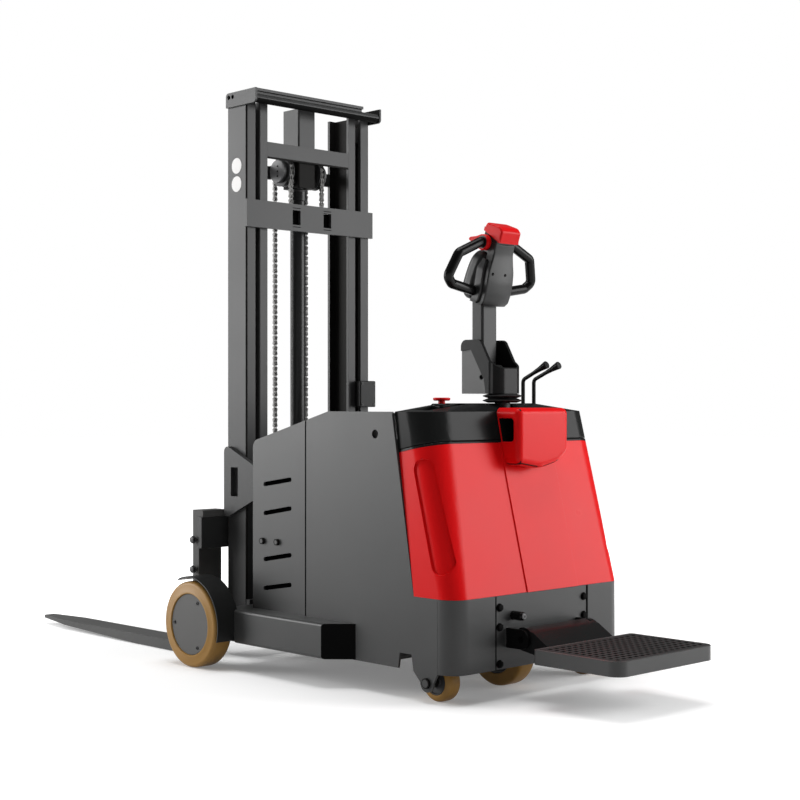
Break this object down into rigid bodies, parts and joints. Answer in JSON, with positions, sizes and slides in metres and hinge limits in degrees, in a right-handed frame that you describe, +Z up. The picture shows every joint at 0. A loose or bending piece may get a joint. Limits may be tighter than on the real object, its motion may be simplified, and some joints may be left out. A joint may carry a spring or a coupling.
{
  "type": "counterbalanced pedestrian stacker",
  "caption": "Counterbalanced electric stacker forklift with a tilting telescopic mast, forks, red rear hood, steering tiller and fold-up rider platform.",
  "frame": {"origin": "floor point under the middle of the bounding box", "axes": "+X to the truck's right, +Y forward to the fork tips, +Z up"},
  "size_m": [1.098, 2.877, 2.02],
  "materials": {
    "frame_grey": "satin dark grey paint",
    "mast_grey": "satin dark grey paint",
    "hood_red": "glossy red moulding",
    "black_plastic": "satin black moulding",
    "tyre_tan": "tan polyurethane",
    "hub_grey": "satin dark grey cover",
    "black_rubber": "matt black rubber",
    "bright_steel": "ground steel",
    "chrome_rod": "hard chrome",
    "chain_steel": "oiled dark steel",
    "cast": "painted casting",
    "battery_case": "moulded case",
    "nylon": "nylon",
    "red_plastic": "glossy red switch",
    "bolt_dark": "blackened steel"
  },
  "bodies": {
    "chassis": {"side_panels": "frame_grey", "side_beams": "frame_grey", "axle_frame": "frame_grey", "mast_pivot_pins": "bright_steel", "mudguards": "frame_grey", "chassis_base": "frame_grey", "rear_chassis": "frame_grey", "rear_cover_plate": "frame_grey", "stop_stud": "black_rubber", "platform_pin": "bright_steel", "hood_cover": "hood_red", "hood_top": "black_plastic", "storage_box": "hood_red", "battery_cover": "frame_grey", "battery": "battery_case", "counterweight": "cast", "pump_unit": "frame_grey", "chassis_bolts": "bolt_dark"},
    "mast": {"outer_rails": "mast_grey", "mast_ties": "mast_grey", "tilt_brackets": "mast_grey", "lift_barrel": "mast_grey", "chain_anchors": "bolt_dark", "rear_chains": "chain_steel", "limit_box": "black_plastic", "guide_pads": "nylon"},
    "inner_mast": {"inner_rails": "mast_grey", "inner_ties": "mast_grey", "lift_rod": "chrome_rod", "chain_wraps": "chain_steel", "front_chains": "chain_steel"},
    "sheave_pair": {"sheaves": "bright_steel"},
    "inner_roller_pair": {"inner_rollers": "bright_steel"},
    "carriage": {"carriage_frame": "mast_grey", "carriage_bars": "mast_grey"},
    "carriage_roller_upper_pair": {"carriage_rollers_upper": "bright_steel"},
    "carriage_roller_lower_pair": {"carriage_rollers_lower": "bright_steel"},
    "left_fork": {"fork_left": "frame_grey"},
    "right_fork": {"fork_right": "frame_grey"},
    "tilt_barrel_pair": {"tilt_barrels": "frame_grey"},
    "tilt_rod_pair": {"tilt_rods": "chrome_rod"},
    "left_front_wheel": {"front_tyre_left": "tyre_tan", "front_hub_left": "hub_grey"},
    "right_front_wheel": {"front_tyre_right": "tyre_tan", "front_hub_right": "hub_grey"},
    "left_caster": {"caster_left": "tyre_tan"},
    "right_caster": {"caster_right": "tyre_tan"},
    "steered_drive": {"drive_unit": "cast", "tiller_base": "black_plastic", "tiller_boot": "black_rubber"},
    "drive_roller": {"drive_wheel": "tyre_tan"},
    "tiller": {"tiller_stem": "frame_grey", "tiller_head": "black_plastic", "tiller_grips": "black_plastic"},
    "throttle": {"throttle_wings": "red_plastic"},
    "belly_switch": {"belly_button": "red_plastic"},
    "lift_control": {"lift_lever": "black_plastic"},
    "tilt_control": {"tilt_lever": "black_plastic"},
    "stop_switch": {"emergency_stop": "red_plastic"},
    "rider_platform": {"platform": "frame_grey"}
  },
  "joints": [
    {"name": "mast_tilt", "type": "hinge", "parent": "chassis", "child": "mast", "pos_m": [0, 0.1375, 0.15], "axis": [1, 0, 0], "range_deg": [-3, 3]},
    {"name": "inner_lift", "type": "slide", "parent": "mast", "child": "inner_mast", "axis": [0, 0, 1], "range_m": [0, 1.15], "deforming": ["rear_chains"]},
    {"name": "carriage_lift", "type": "slide", "parent": "inner_mast", "child": "carriage", "axis": [0, 0, 1], "range_m": [0, 1.15], "deforming": ["front_chains"]},
    {"name": "sheave_turn", "type": "hinge", "parent": "inner_mast", "child": "sheave_pair", "pos_m": [0, 0.2465, 1.758], "axis": [1, 0, 0], "range_deg": [-5, 1445]},
    {"name": "inner_roller_turn", "type": "hinge", "parent": "inner_mast", "child": "inner_roller_pair", "pos_m": [0, 0.2365, 0.15], "axis": [1, 0, 0], "range_deg": [-5, 1645]},
    {"name": "carriage_roller_upper_turn", "type": "hinge", "parent": "carriage", "child": "carriage_roller_upper_pair", "pos_m": [0, 0.2455, 0.4], "axis": [1, 0, 0], "range_deg": [-5, 1405]},
    {"name": "carriage_roller_lower_turn", "type": "hinge", "parent": "carriage", "child": "carriage_roller_lower_pair", "pos_m": [0, 0.2455, 0.165], "axis": [1, 0, 0], "range_deg": [-5, 1405]},
    {"name": "left_fork_shift", "type": "slide", "parent": "carriage", "child": "left_fork", "axis": [1, 0, 0], "range_m": [-0.005, 0.24]},
    {"name": "right_fork_shift", "type": "slide", "parent": "carriage", "child": "right_fork", "axis": [-1, 0, 0], "range_m": [-0.005, 0.24]},
    {"name": "tilt_barrel_swing", "type": "hinge", "parent": "chassis", "child": "tilt_barrel_pair", "pos_m": [0, -0.2565, 0.627], "axis": [1, 0, 0], "range_deg": [-2, 2]},
    {"name": "tilt_rod_stroke", "type": "slide", "parent": "tilt_barrel_pair", "child": "tilt_rod_pair", "axis": [0, 1, 0], "range_m": [-0.03, 0.03]},
    {"name": "left_front_wheel_spin", "type": "hinge", "parent": "chassis", "child": "left_front_wheel", "pos_m": [-0.509, 0.1735, 0.1475], "axis": [1, 0, 0], "continuous": true},
    {"name": "right_front_wheel_spin", "type": "hinge", "parent": "chassis", "child": "right_front_wheel", "pos_m": [0.509, 0.1735, 0.1475], "axis": [1, 0, 0], "continuous": true},
    {"name": "left_caster_spin", "type": "hinge", "parent": "chassis", "child": "left_caster", "pos_m": [-0.339, -0.8385, 0.062], "axis": [1, 0, 0], "continuous": true},
    {"name": "right_caster_spin", "type": "hinge", "parent": "chassis", "child": "right_caster", "pos_m": [0.339, -0.8385, 0.062], "axis": [1, 0, 0], "continuous": true},
    {"name": "steering", "type": "hinge", "parent": "chassis", "child": "steered_drive", "pos_m": [0, -0.7795, 0.345], "axis": [0, 0, 1], "range_deg": [-85, 85]},
    {"name": "drive_wheel_spin", "type": "hinge", "parent": "steered_drive", "child": "drive_roller", "pos_m": [0, -0.7795, 0.115], "axis": [1, 0, 0], "continuous": true},
    {"name": "tiller_tilt", "type": "hinge", "parent": "steered_drive", "child": "tiller", "pos_m": [0, -0.7415, 0.991], "axis": [1, 0, 0], "range_deg": [0, 74], "stiffness_Nm_per_rad": 6, "springref_deg": -22.92},
    {"name": "throttle_turn", "type": "hinge", "parent": "tiller", "child": "throttle", "pos_m": [0, -0.7509, 1.42493], "axis": [1, 0, 0], "range_deg": [-25, 25], "stiffness_Nm_per_rad": 0.5},
    {"name": "belly_press", "type": "slide", "parent": "tiller", "child": "belly_switch", "axis": [0, 0.342, -0.9397], "range_m": [0, 0.006], "stiffness_N_per_m": 500, "springref_m": -0.012},
    {"name": "lift_lever_pull", "type": "hinge", "parent": "chassis", "child": "lift_control", "pos_m": [0.176, -0.7115, 0.868], "axis": [1, 0, 0], "range_deg": [-12, 12], "stiffness_Nm_per_rad": 4},
    {"name": "tilt_lever_pull", "type": "hinge", "parent": "chassis", "child": "tilt_control", "pos_m": [0.23, -0.7115, 0.868], "axis": [1, 0, 0], "range_deg": [-12, 12], "stiffness_Nm_per_rad": 4},
    {"name": "emergency_stop_press", "type": "slide", "parent": "chassis", "child": "stop_switch", "axis": [0, 0, -1], "range_m": [0, 0.006]},
    {"name": "platform_fold", "type": "hinge", "parent": "chassis", "child": "rider_platform", "pos_m": [0, -1.0105, 0.188], "axis": [-1, 0, 0], "range_deg": [0, 90]}
  ],
  "couplings": [
    {"joint": "carriage_lift", "follows": "inner_lift", "ratio": 1},
    {"joint": "sheave_turn", "follows": "inner_lift", "rad_per_m": 21.739},
    {"joint": "inner_roller_turn", "follows": "inner_lift", "rad_per_m": 24.691},
    {"joint": "carriage_roller_upper_turn", "follows": "inner_lift", "rad_per_m": 21.053},
    {"joint": "carriage_roller_lower_turn", "follows": "inner_lift", "rad_per_m": 21.053},
    {"joint": "tilt_barrel_swing", "follows": "mast_tilt", "ratio": -0.231},
    {"joint": "tilt_rod_stroke", "follows": "mast_tilt", "m_per_rad": -0.477}
  ]
}
